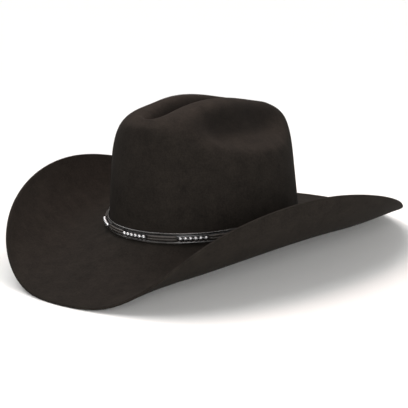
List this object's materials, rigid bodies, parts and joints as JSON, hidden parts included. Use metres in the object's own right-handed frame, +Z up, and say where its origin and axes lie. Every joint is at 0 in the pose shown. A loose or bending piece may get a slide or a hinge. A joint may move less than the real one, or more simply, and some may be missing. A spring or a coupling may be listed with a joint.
{
  "type": "western hat",
  "caption": "Dark brown felt western hat with a creased crown, a wide brim rolled up at the sides, and a black leather band with rows of silver-coloured beads.",
  "frame": {"origin": "on the surface that the brim rests on, under the middle of the hat's bounding box", "axes": "-Y to the front of the hat, +X to the wearer's left, +Z up through the crown"},
  "size_m": [0.33, 0.4085, 0.1472],
  "materials": {
    "felt": "matte brushed fur felt",
    "strap_leather": "gloss",
    "edge_leather": "satin",
    "lace_leather": "satin",
    "bead_metal": "polished, slightly worn"
  },
  "bodies": {
    "root": {"felt_body": "felt", "band_strap": "strap_leather", "band_edge_lower": "edge_leather", "band_edge_upper": "edge_leather", "bead_group_1": "bead_metal", "bead_group_2": "bead_metal", "bead_group_3": "bead_metal", "bead_group_4": "bead_metal", "bead_group_5": "bead_metal", "bead_group_6": "bead_metal", "bead_group_7": "bead_metal", "band_lace_1": "lace_leather", "band_lace_2": "lace_leather", "band_lace_3": "lace_leather", "band_lace_4": "lace_leather", "band_lace_5": "lace_leather", "band_lace_6": "lace_leather", "band_lace_7": "lace_leather", "band_lace_8": "lace_leather", "band_keeper": "strap_leather"}
  },
  "joints": []
}
